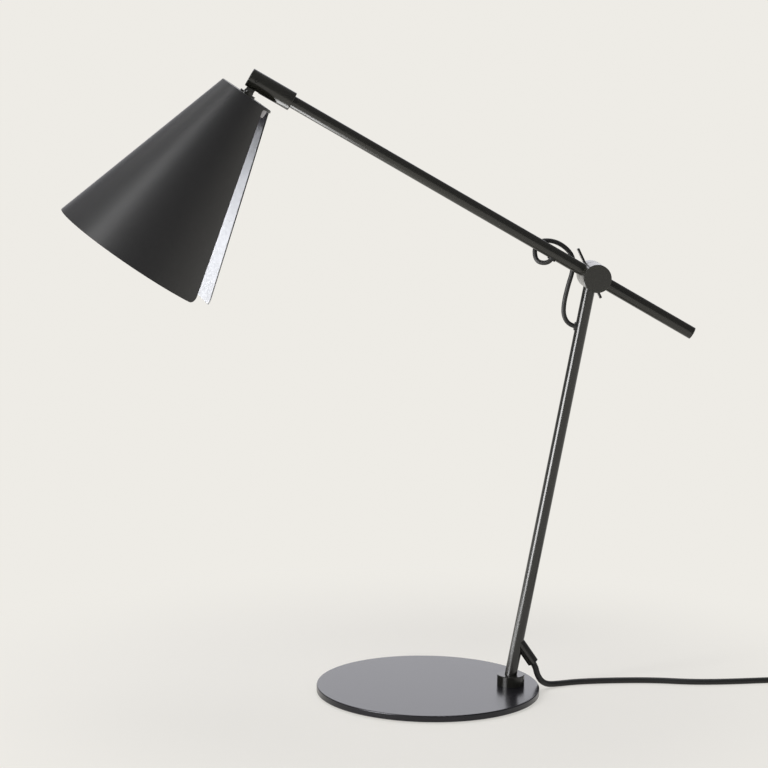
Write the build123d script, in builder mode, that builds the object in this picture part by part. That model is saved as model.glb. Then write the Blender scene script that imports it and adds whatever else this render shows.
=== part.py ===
from build123d import *
import os
from math import acos, atan2, cos, pi, radians, sin, tan

# Desk lamp: a round steel base, a leaning stem, an arm that turns on the stem's hub and is held
# by a cross-bar clamp screw, and a slotted cone shade on a hinge and swivel at the arm's end.
# Millimetres. Origin: centre of the base's underside. +Z up, +Y away from the viewer, and the
# arm reaches towards -X.

os.makedirs("parts", exist_ok=True)

# ---------------------------------------------------------------------------- driving dimensions
# Base
base_diameter = 220.0
plate_thickness = 6.0
plate_edge_round = 1.0
pad_diameter = 208.0
pad_thickness = 1.0

# Collar on the base, and the three screws that hold it from below
collar_from_edge = 27.85
collar_diameter = 27.0
collar_height = 10.2
collar_edge = 0.6
collar_screw_circle = 20.0
collar_screw_count = 3
collar_screw_diameter = 3.0
collar_screw_head_diameter = 5.6
collar_screw_length = 11.5
collar_screw_socket = 2.0

# Tubes of the stem and the arm, and the gap in the bores that they are fixed in
tube_diameter = 12.0
tube_wall = 1.0
bore_gap = 0.05

# Stem: its lean from upright, its length from the collar's top to the arm's axle, and its foot
stem_lean = 10.0
stem_reach = 403.5
stem_foot_depth = 8.0

# Mains outlet that branches off the stem
outlet_height = 35.1
outlet_angle = 45.0
outlet_diameter = 11.0
outlet_bore = 8.0
outlet_length = 27.4
bush_length = 7.0
cord_gap = 0.15

# Hubs on the arm's axle, which runs along Y
hub_diameter = 27.0
hub_edge = 0.5
stem_hub_back = 12.0
hub_seam_y = -7.5
friction_washer_thickness = 0.8
arm_hub_front = -38.0
arm_y = -15.0

# Clamp screw along the axle, with its cross bar
clamp_shank_diameter = 6.0
clamp_shank_end_y = -28.0
clamp_tip_gap = 1.0
shank_gap = 0.05
clamp_head_diameter = 10.0
clamp_head_length = 9.0
bar_diameter = 2.8
bar_length = 54.0
bar_setback = 4.6
bar_lean = 26.2

# Arm: slope of its head end above level, and lengths along it from the axle
arm_slope = 29.25
arm_tail_length = 111.0
tail_plug_flange = 1.2
tail_plug_depth = 6.0
counterweight_length = 86.0
counterweight_gap = 0.1

# Block at the arm's head end, slotted for the shade's hinge
block_diameter = 18.5
block_start = 333.8
block_length = 46.7
block_edge = 0.8
tube_in_block = 20.0
hinge_from_end = 7.6
hinge_pin_diameter = 3.0
hinge_pin_length = 17.6
hinge_pin_edge = 0.3
slot_width = 6.0
slot_to_hinge = 7.2
slot_above_hinge = 5.0
set_screw_diameter = 3.0
set_screw_from_end = 10.0
set_screw_socket = 1.5

# Knuckle between the hinge and the shade
tongue_width = 8.5
tongue_thickness = 5.6
hinge_gap = 0.05
hinge_to_shade = 15.56
seat_washer_diameter = 16.0
seat_washer_thickness = 2.0
shoulder_diameter = 9.5
shoulder_height = 1.9
stud_diameter = 8.0
stud_bore = 5.0
stud_gap = 0.1

# Shade: a cone, closed at its top and slotted down one side
shade_tilt_from_upright = 33.8
shade_top_radius = 27.2
shade_mouth_radius = 84.1
shade_height = 187.6
shade_sheet = 1.2
shade_disc = 1.5
shade_top_round = 0.8
shade_slot_turn = 14.0
shade_slot_top_width = 28.6
shade_slot_mouth_width = 63.8
shade_slot_start = 2.4
shade_slot_top_round = 3.0
shade_slot_mouth_round = 9.0

# Stack under the shade's top: cup, spring washer and nut
cup_radius = 24.5
cup_sheet = 1.0
cup_depth = 8.5
spring_washer_diameter = 14.0
spring_washer_thickness = 0.8
nut_across_flats = 13.0
nut_height = 4.0

# Lampholder and lamp
holder_radius = 19.0
holder_ring_radius = 20.5
holder_ring_height = 9.0
holder_groove_radius = 0.9
holder_groove_count = 24
holder_length = 52.0
holder_neck_radius = 8.0
holder_neck_height = 6.0
holder_dome_height = 9.0
holder_mouth_radius = 13.7
holder_cavity_depth = 27.0
thread_shell_radius = 13.6
thread_shell_wall = 0.4
thread_shell_length = 22.0
contact_radius = 6.0
contact_height = 1.2
cap_radius = 13.0
cap_length = 22.0
cap_tip_radius = 4.5
cap_tip_height = 2.5
bulb_radius = 30.0
bulb_length = 105.0
bulb_glass_wall = 0.8
bulb_neck_radius = 12.6
bulb_neck_depth = 6.0

# Lead between the stem and the arm, and its two grommets
lead_diameter = 4.5
lead_gap = 0.1
arm_grommet_distance = 44.5
stem_grommet_distance = 51.8
grommet_hole_diameter = 6.4
grommet_flange_diameter = 8.4
grommet_stand = 1.0
grommet_edge = 0.4
lead_exit_run = 4.2
hidden_lead_bend = 4.6
block_lead_bore = 5.2

# Mains cord, its coil, tie and plug
cord_diameter = 6.0
cord_exit_run = 4.2
coil_from_plate = 294.0
coil_entry_y = 27.2
coil_outer_radius = 46.0
coil_turn_pitch = 7.8
coil_layer_pitch = 6.8
coil_lower_half_turns = 5
coil_upper_half_turns = 6
plug_reach_x = 104.0
plug_reach_y = -12.0
tie_width = 7.0
tie_thickness = 0.8
tie_side_gap = 0.7
tie_height_gap = 0.1
plug_width = 35.3
plug_thickness = 13.7
plug_length = 34.0
plug_nose_width = 16.0
plug_shoulder = 19.0
plug_neck_length = 22.0
plug_neck_diameter = 10.4
plug_neck_end_diameter = 8.0
plug_rib_depth = 0.8
plug_rib_count = 6
plug_edge = 1.6
pin_diameter = 4.0
pin_length = 19.0
pin_spacing = 19.0
pin_rooted = 10.0

# ------------------------------------------------------------------------ places worked out from them
tube_radius = tube_diameter / 2
tube_bore_radius = tube_radius - tube_wall
plate_top = pad_thickness + plate_thickness
collar_x = base_diameter / 2 - collar_from_edge
collar_top = plate_top + collar_height
pivot_x = collar_x + stem_reach * sin(radians(stem_lean))
pivot_z = collar_top + stem_reach * cos(radians(stem_lean))
axle_bore_radius = clamp_shank_diameter / 2 + shank_gap
washer_back = hub_seam_y + friction_washer_thickness / 2
washer_front = hub_seam_y - friction_washer_thickness / 2

# Stem frame: origin on the axle, z up along the stem, x to the right
stem_frame = Plane(
    origin=(pivot_x, 0, pivot_z),
    x_dir=(cos(radians(stem_lean)), 0, -sin(radians(stem_lean))),
    z_dir=(sin(radians(stem_lean)), 0, cos(radians(stem_lean))),
)

# Outlet frame: origin on the stem's axis, z out along the branch
outlet_lean = outlet_angle - stem_lean
outlet_frame = Plane(
    origin=stem_frame.from_local_coords(Vector(0, 0, outlet_height - stem_reach)),
    x_dir=(0, 1, 0),
    z_dir=(sin(radians(outlet_lean)), 0, -cos(radians(outlet_lean))),
)

# Arm frame: origin on the axle, z along the arm to its head end, x up from the arm, y as the part's
arm_frame = Plane(
    origin=(pivot_x, arm_y, pivot_z),
    x_dir=(sin(radians(arm_slope)), 0, cos(radians(arm_slope))),
    z_dir=(-cos(radians(arm_slope)), 0, sin(radians(arm_slope))),
)
block_end = block_start + block_length
hinge_distance = block_end - hinge_from_end

# Shade frame: origin at the centre of the shade's top, z up along its axis, x to the right
shade_up = Vector(sin(radians(shade_tilt_from_upright)), 0, cos(radians(shade_tilt_from_upright)))
hinge_point = arm_frame.from_local_coords(Vector(0, 0, hinge_distance))
shade_frame = Plane(
    origin=hinge_point - shade_up * hinge_to_shade,
    x_dir=(cos(radians(shade_tilt_from_upright)), 0, -sin(radians(shade_tilt_from_upright))),
    z_dir=shade_up,
)
# The shade's own upright plane: sketch x is the radius and sketch y is the height
shade_profile = Plane(origin=shade_frame.origin, x_dir=shade_frame.x_dir, z_dir=(0, -1, 0))
shade_axis = Axis(shade_frame.origin, shade_up)


def crosswise(y):
    """Plane square to the arm's axle at this y, with its z along +Y."""
    return Plane(origin=(pivot_x, y, pivot_z), x_dir=(1, 0, 0), z_dir=(0, 1, 0))


def corner_radii(points):
    """Radius at each corner of a route: 0.45 of the shorter run over the tangent of half the turn."""
    radii = []
    for before, corner, after in zip(points, points[1:], points[2:]):
        run_in = Vector(corner) - Vector(before)
        run_out = Vector(after) - Vector(corner)
        half_turn = radians(run_in.get_angle(run_out) / 2)
        radii.append(0.45 * min(run_in.length, run_out.length) / tan(half_turn))
    return radii


def across_start(line):
    """Plane square to a route at its first point."""
    return Plane(origin=line @ 0, z_dir=line % 0)


def report_tube(label, tube, line, diameter):
    """Prints a tube's length, and its volume over its section times its length."""
    length = line.wire().length
    ratio = tube.volume / (pi * diameter**2 / 4 * length)
    print(f"{label}: length {length:.1f} mm, volume ratio {ratio:.4f}")


# ------------------------------------------------------------------------------------------ base
with BuildPart() as base_pad:
    with BuildSketch(Plane.XY):
        Circle(pad_diameter / 2)
    extrude(amount=pad_thickness)
base_pad.part.label = "base_pad"
export_step(base_pad.part, "parts/base_pad.step")

# Underside of the plate at the collar, looking down
collar_underside = Plane(origin=(collar_x, 0, pad_thickness), x_dir=(1, 0, 0), z_dir=(0, 0, -1))

with BuildPart() as base_plate:
    with BuildSketch(Plane.XY.offset(pad_thickness)):
        Circle(base_diameter / 2)
    extrude(amount=plate_thickness)
    fillet(base_plate.edges().group_by(Axis.Z)[-1], plate_edge_round)
    with Locations(collar_underside):
        with PolarLocations(collar_screw_circle / 2, collar_screw_count):
            CounterSinkHole(
                collar_screw_diameter / 2,
                collar_screw_head_diameter / 2,
                counter_sink_angle=90,
            )
base_plate.part.label = "base_plate"
export_step(base_plate.part, "parts/base_plate.step")

# The collar's bore leans with the stem and is blind
with BuildPart() as collar:
    with BuildSketch(Plane(origin=(collar_x, 0, plate_top))):
        Circle(collar_diameter / 2)
    extrude(amount=collar_height)
    chamfer(collar.edges().group_by(Axis.Z)[-1], collar_edge)
    with BuildSketch(stem_frame.offset(-stem_reach - stem_foot_depth)):
        Circle(tube_radius + bore_gap)
    extrude(amount=2 * stem_foot_depth, mode=Mode.SUBTRACT)
    with Locations(Plane(origin=(collar_x, 0, plate_top), x_dir=(1, 0, 0), z_dir=(0, 0, -1))):
        with PolarLocations(collar_screw_circle / 2, collar_screw_count):
            Hole(collar_screw_diameter / 2, depth=collar_screw_length - plate_thickness)
collar.part.label = "collar"
export_step(collar.part, "parts/collar.step")

collar_screw_cone = (collar_screw_head_diameter - collar_screw_diameter) / 2
with BuildPart() as collar_screws:
    with BuildSketch(Plane(origin=(collar_x, 0, pad_thickness))):
        with PolarLocations(collar_screw_circle / 2, collar_screw_count):
            Circle(collar_screw_head_diameter / 2)
    extrude(amount=collar_screw_cone, taper=45)
    with BuildSketch(Plane(origin=(collar_x, 0, pad_thickness))):
        with PolarLocations(collar_screw_circle / 2, collar_screw_count):
            Circle(collar_screw_diameter / 2)
    extrude(amount=collar_screw_length)
    with BuildSketch(Plane(origin=(collar_x, 0, pad_thickness))):
        with PolarLocations(collar_screw_circle / 2, collar_screw_count):
            RegularPolygon(collar_screw_socket / 2, 6, major_radius=False)
    extrude(amount=collar_screw_cone, mode=Mode.SUBTRACT)
collar_screws.part.label = "collar_screws"
export_step(collar_screws.part, "parts/collar_screws.step")

# ------------------------------------------------------------------------------------------ stem
# Its head stops short of the clamp screw, and it is drilled for the outlet and the lead
stem_head_gap = clamp_shank_diameter
stem_length = stem_reach + stem_foot_depth - stem_head_gap
stem_grommet_frame = Plane(
    origin=stem_frame.from_local_coords(Vector(0, 0, -stem_grommet_distance)),
    x_dir=(0, 1, 0),
    z_dir=-stem_frame.x_dir,
)

with BuildPart() as stem_tube:
    with BuildSketch(stem_frame.offset(-stem_reach - stem_foot_depth)):
        Circle(tube_radius)
        Circle(tube_bore_radius, mode=Mode.SUBTRACT)
    extrude(amount=stem_length)
    with BuildSketch(outlet_frame):
        Circle(outlet_bore / 2)
    extrude(amount=outlet_length, mode=Mode.SUBTRACT)
    with BuildSketch(stem_grommet_frame):
        Circle(grommet_hole_diameter / 2)
    extrude(amount=tube_diameter, mode=Mode.SUBTRACT)
stem_tube.part.label = "stem_tube"
export_step(stem_tube.part, "parts/stem_tube.step")

# The branch is mitred to the stem's outside
with BuildPart() as cable_outlet:
    with BuildSketch(outlet_frame):
        Circle(outlet_diameter / 2)
        Circle(outlet_bore / 2, mode=Mode.SUBTRACT)
    extrude(amount=outlet_length)
    with BuildSketch(stem_frame.offset(-stem_reach)):
        Circle(tube_radius)
    extrude(amount=2 * outlet_height, mode=Mode.SUBTRACT)
cable_outlet.part.label = "cable_outlet"
export_step(cable_outlet.part, "parts/cable_outlet.step")

with BuildPart() as outlet_bush:
    with BuildSketch(outlet_frame.offset(outlet_length - bush_length)):
        Circle(outlet_bore / 2)
        Circle(cord_diameter / 2 + cord_gap, mode=Mode.SUBTRACT)
    extrude(amount=bush_length)
outlet_bush.part.label = "outlet_bush"
export_step(outlet_bush.part, "parts/outlet_bush.step")

# Hub at the stem's head: bored along Y for the clamp screw and from below for the stem
with BuildPart() as stem_hub:
    with BuildSketch(crosswise(washer_back)):
        Circle(hub_diameter / 2)
        Circle(axle_bore_radius, mode=Mode.SUBTRACT)
    extrude(amount=stem_hub_back - washer_back)
    chamfer(stem_hub.edges().filter_by(GeomType.CIRCLE).group_by(SortBy.RADIUS)[-1], hub_edge)
    with BuildSketch(stem_frame.offset(-hub_diameter)):
        Circle(tube_radius + bore_gap)
    extrude(amount=hub_diameter - stem_head_gap, mode=Mode.SUBTRACT)
stem_hub.part.label = "stem_hub"
export_step(stem_hub.part, "parts/stem_hub.step")

with BuildPart() as friction_washer:
    with BuildSketch(crosswise(washer_front)):
        Circle(hub_diameter / 2 - hub_edge)
        Circle(axle_bore_radius, mode=Mode.SUBTRACT)
    extrude(amount=friction_washer_thickness)
friction_washer.part.label = "friction_washer"
export_step(friction_washer.part, "parts/friction_washer.step")

# ----------------------------------------------------------------------------------- clamp screw
bar_y = stem_hub_back + bar_setback
bar_direction = Vector(-sin(radians(bar_lean)), 0, cos(radians(bar_lean)))
bar_middle = Plane(origin=(pivot_x, bar_y, pivot_z), x_dir=(0, 1, 0), z_dir=bar_direction)

with BuildPart() as clamp_screw:
    with BuildSketch(crosswise(stem_hub_back)):
        Circle(clamp_head_diameter / 2)
    extrude(amount=clamp_head_length)
    chamfer(clamp_screw.edges().sort_by(Axis.Y)[-1], hub_edge)
    with BuildSketch(crosswise(clamp_shank_end_y)):
        Circle(clamp_shank_diameter / 2)
    extrude(amount=stem_hub_back - clamp_shank_end_y)
    chamfer(clamp_screw.edges().sort_by(Axis.Y)[0], hub_edge)
    with BuildSketch(bar_middle):
        Circle(bar_diameter / 2)
    extrude(amount=clamp_head_diameter, both=True, mode=Mode.SUBTRACT)
clamp_screw.part.label = "clamp_screw"
export_step(clamp_screw.part, "parts/clamp_screw.step")

with BuildPart() as tommy_bar:
    with BuildSketch(bar_middle.offset(-bar_length / 2)):
        Circle(bar_diameter / 2)
    extrude(amount=bar_length)
    fillet(tommy_bar.edges().filter_by(GeomType.CIRCLE), bar_diameter / 4)
tommy_bar.part.label = "tommy_bar"
export_step(tommy_bar.part, "parts/tommy_bar.step")

# ------------------------------------------------------------------------------------------- arm
arm_tube_start = tail_plug_flange - arm_tail_length
arm_tube_end = block_start + tube_in_block
arm_grommet_frame = Plane(
    origin=arm_frame.from_local_coords(Vector(0, 0, arm_grommet_distance)),
    x_dir=(0, 1, 0),
    z_dir=-arm_frame.x_dir,
)

with BuildPart() as arm_tube:
    with BuildSketch(arm_frame.offset(arm_tube_start)):
        Circle(tube_radius)
        Circle(tube_bore_radius, mode=Mode.SUBTRACT)
    extrude(amount=arm_tube_end - arm_tube_start)
    with BuildSketch(crosswise(arm_y)):
        Circle(axle_bore_radius)
    extrude(amount=tube_diameter, both=True, mode=Mode.SUBTRACT)
    with BuildSketch(arm_grommet_frame):
        Circle(grommet_hole_diameter / 2)
    extrude(amount=tube_diameter, mode=Mode.SUBTRACT)
arm_tube.part.label = "arm_tube"
export_step(arm_tube.part, "parts/arm_tube.step")

# Hub on the arm: bored through for the arm, and blind from its back for the clamp screw
with BuildPart() as arm_hub:
    with BuildSketch(crosswise(arm_hub_front)):
        Circle(hub_diameter / 2)
    extrude(amount=washer_front - arm_hub_front)
    chamfer(arm_hub.edges().filter_by(GeomType.CIRCLE), hub_edge)
    with BuildSketch(crosswise(clamp_shank_end_y - clamp_tip_gap)):
        Circle(axle_bore_radius)
    extrude(amount=washer_front - clamp_shank_end_y + clamp_tip_gap, mode=Mode.SUBTRACT)
    with BuildSketch(arm_frame):
        Circle(tube_radius + bore_gap)
    extrude(amount=hub_diameter, both=True, mode=Mode.SUBTRACT)
arm_hub.part.label = "arm_hub"
export_step(arm_hub.part, "parts/arm_hub.step")

with BuildPart() as tail_plug:
    with BuildSketch(arm_frame.offset(-arm_tail_length)):
        Circle(tube_radius)
    extrude(amount=tail_plug_flange)
    with BuildSketch(arm_frame.offset(arm_tube_start)):
        Circle(tube_bore_radius)
    extrude(amount=tail_plug_depth)
tail_plug.part.label = "tail_plug"
export_step(tail_plug.part, "parts/tail_plug.step")

with BuildPart() as counterweight_rod:
    with BuildSketch(arm_frame.offset(arm_tube_start + tail_plug_depth)):
        Circle(tube_bore_radius - counterweight_gap)
    extrude(amount=counterweight_length)
counterweight_rod.part.label = "counterweight_rod"
export_step(counterweight_rod.part, "parts/counterweight_rod.step")

# ------------------------------------------------------------------------------------ head block
slot_floor = hinge_distance - slot_to_hinge
set_screw_frame = Plane(
    origin=arm_frame.from_local_coords(Vector(0, 0, block_start + set_screw_from_end)),
    x_dir=(0, 1, 0),
    z_dir=-arm_frame.x_dir,
)
hinge_cross = Plane(origin=hinge_point, x_dir=arm_frame.z_dir, z_dir=(0, 1, 0))

with BuildPart() as head_block:
    with BuildSketch(arm_frame.offset(block_start)):
        Circle(block_diameter / 2)
    extrude(amount=block_length)
    fillet(head_block.edges().filter_by(GeomType.CIRCLE), block_edge)
    with BuildSketch(arm_frame.offset(block_start)):
        Circle(tube_radius + bore_gap)
    extrude(amount=tube_in_block, mode=Mode.SUBTRACT)
    with BuildSketch(arm_frame.offset(arm_tube_end)):
        Circle(block_lead_bore / 2)
    extrude(amount=slot_floor - arm_tube_end, mode=Mode.SUBTRACT)
    # The slot is open below and at the head end, and the block closes it above
    with BuildSketch(arm_frame.offset(slot_floor)):
        with Locations((slot_above_hinge, 0)):
            Rectangle(slot_above_hinge + block_diameter, slot_width, align=(Align.MAX, Align.CENTER))
    extrude(amount=block_end - slot_floor, mode=Mode.SUBTRACT)
    with BuildSketch(hinge_cross):
        Circle(hinge_pin_diameter / 2)
    extrude(amount=block_diameter, both=True, mode=Mode.SUBTRACT)
    with BuildSketch(set_screw_frame):
        Circle(set_screw_diameter / 2)
    extrude(amount=block_diameter, mode=Mode.SUBTRACT)
head_block.part.label = "head_block"
export_step(head_block.part, "parts/head_block.step")

with BuildPart() as block_set_screw:
    with BuildSketch(set_screw_frame.offset(tube_radius)):
        Circle(set_screw_diameter / 2)
    extrude(amount=block_diameter / 2 - tube_radius - bore_gap)
    with BuildSketch(set_screw_frame.offset(block_diameter / 2)):
        RegularPolygon(set_screw_socket / 2, 6, major_radius=False)
    extrude(amount=-set_screw_socket, mode=Mode.SUBTRACT)
block_set_screw.part.label = "block_set_screw"
export_step(block_set_screw.part, "parts/block_set_screw.step")

with BuildPart() as hinge_pin:
    with BuildSketch(hinge_cross.offset(-hinge_pin_length / 2)):
        Circle(hinge_pin_diameter / 2)
    extrude(amount=hinge_pin_length)
    chamfer(hinge_pin.edges().filter_by(GeomType.CIRCLE), hinge_pin_edge)
hinge_pin.part.label = "hinge_pin"
export_step(hinge_pin.part, "parts/hinge_pin.step")

# --------------------------------------------------------------------------------------- knuckle
# Tongue on the hinge pin, shoulder on the washer, and a hollow stud through the shade's top
cup_floor = -shade_disc - cup_sheet
nut_top = cup_floor - spring_washer_thickness
holder_top = nut_top - nut_height - bore_gap
stud_end = holder_top - holder_neck_height

with BuildPart() as knuckle:
    with BuildSketch(shade_profile):
        with Locations((0, hinge_to_shade)):
            Circle(tongue_width / 2)
        with Locations((0, seat_washer_thickness)):
            Rectangle(
                tongue_width,
                hinge_to_shade - seat_washer_thickness,
                align=(Align.CENTER, Align.MIN),
            )
    extrude(amount=tongue_thickness / 2, both=True)
    with BuildSketch(shade_frame.offset(seat_washer_thickness)):
        Circle(shoulder_diameter / 2)
    extrude(amount=shoulder_height)
    with BuildSketch(shade_frame.offset(stud_end)):
        Circle(stud_diameter / 2)
    extrude(amount=seat_washer_thickness - stud_end)
    with BuildSketch(shade_frame.offset(stud_end)):
        Circle(stud_bore / 2)
    extrude(amount=seat_washer_thickness - stud_end, mode=Mode.SUBTRACT)
    with BuildSketch(hinge_cross):
        Circle(hinge_pin_diameter / 2 + hinge_gap)
    extrude(amount=tongue_thickness, both=True, mode=Mode.SUBTRACT)
knuckle.part.label = "knuckle"
export_step(knuckle.part, "parts/knuckle.step")

with BuildPart() as seat_washer:
    with BuildSketch(shade_frame):
        Circle(seat_washer_diameter / 2)
        Circle(stud_diameter / 2 + stud_gap, mode=Mode.SUBTRACT)
    extrude(amount=seat_washer_thickness)
seat_washer.part.label = "seat_washer"
export_step(seat_washer.part, "parts/seat_washer.step")

with BuildPart() as spring_washer:
    with BuildSketch(shade_frame.offset(nut_top)):
        Circle(spring_washer_diameter / 2)
        Circle(stud_diameter / 2 + stud_gap, mode=Mode.SUBTRACT)
    extrude(amount=spring_washer_thickness)
spring_washer.part.label = "spring_washer"
export_step(spring_washer.part, "parts/spring_washer.step")

with BuildPart() as stud_nut:
    with BuildSketch(shade_frame.offset(nut_top - nut_height)):
        RegularPolygon(nut_across_flats / 2, 6, major_radius=False)
        Circle(stud_diameter / 2, mode=Mode.SUBTRACT)
    extrude(amount=nut_height)
stud_nut.part.label = "stud_nut"
export_step(stud_nut.part, "parts/stud_nut.step")

# ----------------------------------------------------------------------------------------- shade
shade_slope = (shade_mouth_radius - shade_top_radius) / shade_height
sheet_across = shade_sheet * (1 + shade_slope**2) ** 0.5
shade_hole_radius = stud_diameter / 2 + stud_gap


def sloped_radius(depth):
    """Outer radius of the shade at this depth below its top."""
    return shade_top_radius + shade_slope * depth


def slot_half_width(depth):
    """Half the slot's width at this depth below the shade's top."""
    share = depth / shade_height
    return (shade_slot_top_width * (1 - share) + shade_slot_mouth_width * share) / 2


# Looks at the slot from outside: sketch x is across it and sketch y is the height
slot_out = shade_frame.x_dir * cos(radians(shade_slot_turn)) - Vector(0, sin(radians(shade_slot_turn)), 0)
slot_plane = Plane(origin=shade_frame.origin, x_dir=shade_up.cross(slot_out), z_dir=slot_out)

with BuildPart() as shade:
    with BuildSketch(shade_profile) as shade_section:
        with BuildLine():
            Polyline(
                (shade_hole_radius, 0),
                (shade_top_radius, 0),
                (shade_mouth_radius, -shade_height),
                (shade_mouth_radius - sheet_across, -shade_height),
                (sloped_radius(shade_disc) - sheet_across, -shade_disc),
                (shade_hole_radius, -shade_disc),
                close=True,
            )
        make_face()
        fillet(shade_section.vertices().sort_by_distance((shade_top_radius, 0))[0], shade_top_round)
    revolve(axis=shade_axis)
    # The slot is cut straight in from the side, square to the shade's axis, and opens at the mouth
    with BuildSketch(slot_plane) as slot_face:
        with BuildLine():
            Polyline(
                (-slot_half_width(shade_slot_start), -shade_slot_start),
                (-slot_half_width(shade_height), -shade_height),
                (-shade_mouth_radius, -shade_height),
                (-shade_mouth_radius, -2 * shade_height),
                (shade_mouth_radius, -2 * shade_height),
                (shade_mouth_radius, -shade_height),
                (slot_half_width(shade_height), -shade_height),
                (slot_half_width(shade_slot_start), -shade_slot_start),
                close=True,
            )
        make_face()
        fillet(slot_face.vertices().group_by(Axis.Y)[-1], shade_slot_top_round)
        for side in (-1, 1):
            corner = (side * slot_half_width(shade_height), -shade_height)
            fillet(slot_face.vertices().sort_by_distance(corner)[0], shade_slot_mouth_round)
    extrude(amount=shade_mouth_radius + shade_sheet, mode=Mode.SUBTRACT)
shade.part.label = "shade"
export_step(shade.part, "parts/shade.step")

# Cup that stiffens the shade's top; its skirt shows through the head of the slot
with BuildPart() as shade_cup:
    with BuildSketch(shade_profile):
        with BuildLine():
            Polyline(
                (shade_hole_radius, -shade_disc),
                (cup_radius, -shade_disc),
                (cup_radius, -shade_disc - cup_depth),
                (cup_radius - cup_sheet, -shade_disc - cup_depth),
                (cup_radius - cup_sheet, cup_floor),
                (shade_hole_radius, cup_floor),
                close=True,
            )
        make_face()
    revolve(axis=shade_axis)
shade_cup.part.label = "shade_cup"
export_step(shade_cup.part, "parts/shade_cup.step")

# --------------------------------------------------------------------------- lampholder and lamp
holder_end = holder_top - holder_length
cavity_top = holder_end + holder_cavity_depth
dome_end = holder_top - holder_neck_height - holder_dome_height

with BuildPart() as lampholder:
    with BuildSketch(shade_profile):
        with BuildLine():
            Polyline(
                (stud_diameter / 2, cavity_top),
                (stud_diameter / 2, holder_top),
                (holder_neck_radius, holder_top),
                (holder_neck_radius, holder_top - holder_neck_height),
            )
            TangentArc(
                (holder_radius, dome_end),
                (holder_neck_radius, holder_top - holder_neck_height),
                tangent=(0, 1),
            )
            Polyline(
                (holder_radius, dome_end),
                (holder_radius, holder_end + holder_ring_height),
                (holder_ring_radius, holder_end + holder_ring_height),
                (holder_ring_radius, holder_end),
                (holder_mouth_radius, holder_end),
                (holder_mouth_radius, cavity_top),
                (stud_diameter / 2, cavity_top),
            )
        make_face()
    revolve(axis=shade_axis)
    # Grip grooves round the ring
    with BuildSketch(shade_frame.offset(holder_end)):
        with PolarLocations(holder_ring_radius, holder_groove_count):
            Circle(holder_groove_radius)
    extrude(amount=holder_ring_height, mode=Mode.SUBTRACT)
lampholder.part.label = "lampholder"
export_step(lampholder.part, "parts/lampholder.step")

with BuildPart() as thread_shell:
    with BuildSketch(shade_frame.offset(cavity_top - thread_shell_length - contact_height)):
        Circle(thread_shell_radius)
        Circle(thread_shell_radius - thread_shell_wall, mode=Mode.SUBTRACT)
    extrude(amount=thread_shell_length)
thread_shell.part.label = "thread_shell"
export_step(thread_shell.part, "parts/thread_shell.step")

with BuildPart() as centre_contact:
    with BuildSketch(shade_frame.offset(cavity_top - contact_height)):
        Circle(contact_radius)
    extrude(amount=contact_height)
centre_contact.part.label = "centre_contact"
export_step(centre_contact.part, "parts/centre_contact.step")

# Screw cap with its centre tip on the contact, open at its lower end for the glass
cap_tip_top = cavity_top - contact_height
cap_top = cap_tip_top - cap_tip_height
cap_end = cap_top - cap_length

with BuildPart() as bulb_cap:
    with BuildSketch(shade_frame.offset(cap_end)):
        Circle(cap_radius)
    extrude(amount=cap_length)
    with BuildSketch(shade_frame.offset(cap_top)):
        Circle(cap_tip_radius)
    extrude(amount=cap_tip_height)
    with BuildSketch(shade_frame.offset(cap_end)):
        Circle(bulb_neck_radius)
    extrude(amount=bulb_neck_depth, mode=Mode.SUBTRACT)
bulb_cap.part.label = "bulb_cap"
export_step(bulb_cap.part, "parts/bulb_cap.step")

# Glass: a neck in the cap, a cone, and a sphere that the cone meets smoothly
bulb_crown = cap_tip_top - bulb_length
bulb_centre = bulb_crown + bulb_radius


def bulb_outline(inset):
    """Points of the glass outline, this far inside its outer face: neck, cone, sphere and crown."""
    neck_radius = bulb_neck_radius - inset
    ball_radius = bulb_radius - inset
    neck_end = cap_end - inset
    reach = Vector(neck_radius, neck_end - bulb_centre)
    touch = atan2(reach.Y, reach.X) - acos(ball_radius / reach.length)
    side = touch / 2 - pi / 4
    return (
        (neck_radius, cap_end + bulb_neck_depth),
        (neck_radius, neck_end),
        (ball_radius * cos(touch), bulb_centre + ball_radius * sin(touch)),
        (ball_radius * cos(side), bulb_centre + ball_radius * sin(side)),
        (0, bulb_centre - ball_radius),
    )


with BuildPart() as bulb_glass:
    with BuildSketch(shade_profile):
        with BuildLine():
            for inset in (0, bulb_glass_wall):
                rim, neck, shoulder, side, crown = bulb_outline(inset)
                Polyline(rim, neck, shoulder)
                ThreePointArc(shoulder, side, crown)
            Line(bulb_outline(0)[0], bulb_outline(bulb_glass_wall)[0])
            Line(bulb_outline(0)[-1], bulb_outline(bulb_glass_wall)[-1])
        make_face()
    revolve(axis=shade_axis)
bulb_glass.part.label = "bulb_glass"
export_step(bulb_glass.part, "parts/bulb_glass.step")

# ----------------------------------------------------------------------------- lead and grommets
for name, place, tube in (
    ("stem_grommet", stem_grommet_frame, stem_frame),
    ("arm_grommet", arm_grommet_frame, arm_frame),
):
    with BuildPart() as grommet:
        with BuildSketch(place):
            Circle(grommet_flange_diameter / 2)
        extrude(amount=tube_radius + grommet_stand)
        fillet(grommet.edges().filter_by(GeomType.CIRCLE).sort_by_distance(place.origin)[-1], grommet_edge)
        with BuildSketch(tube.offset(-stem_reach)):
            Circle(tube_radius)
        extrude(amount=2 * stem_reach, mode=Mode.SUBTRACT)
        with BuildSketch(place.offset(tube_bore_radius)):
            Circle(grommet_hole_diameter / 2)
        extrude(amount=tube_wall + grommet_stand / 2)
        with BuildSketch(place):
            Circle(lead_diameter / 2 + lead_gap)
        extrude(amount=tube_diameter, mode=Mode.SUBTRACT)
    grommet.part.label = name
    export_step(grommet.part, f"parts/{name}.step")


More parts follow.
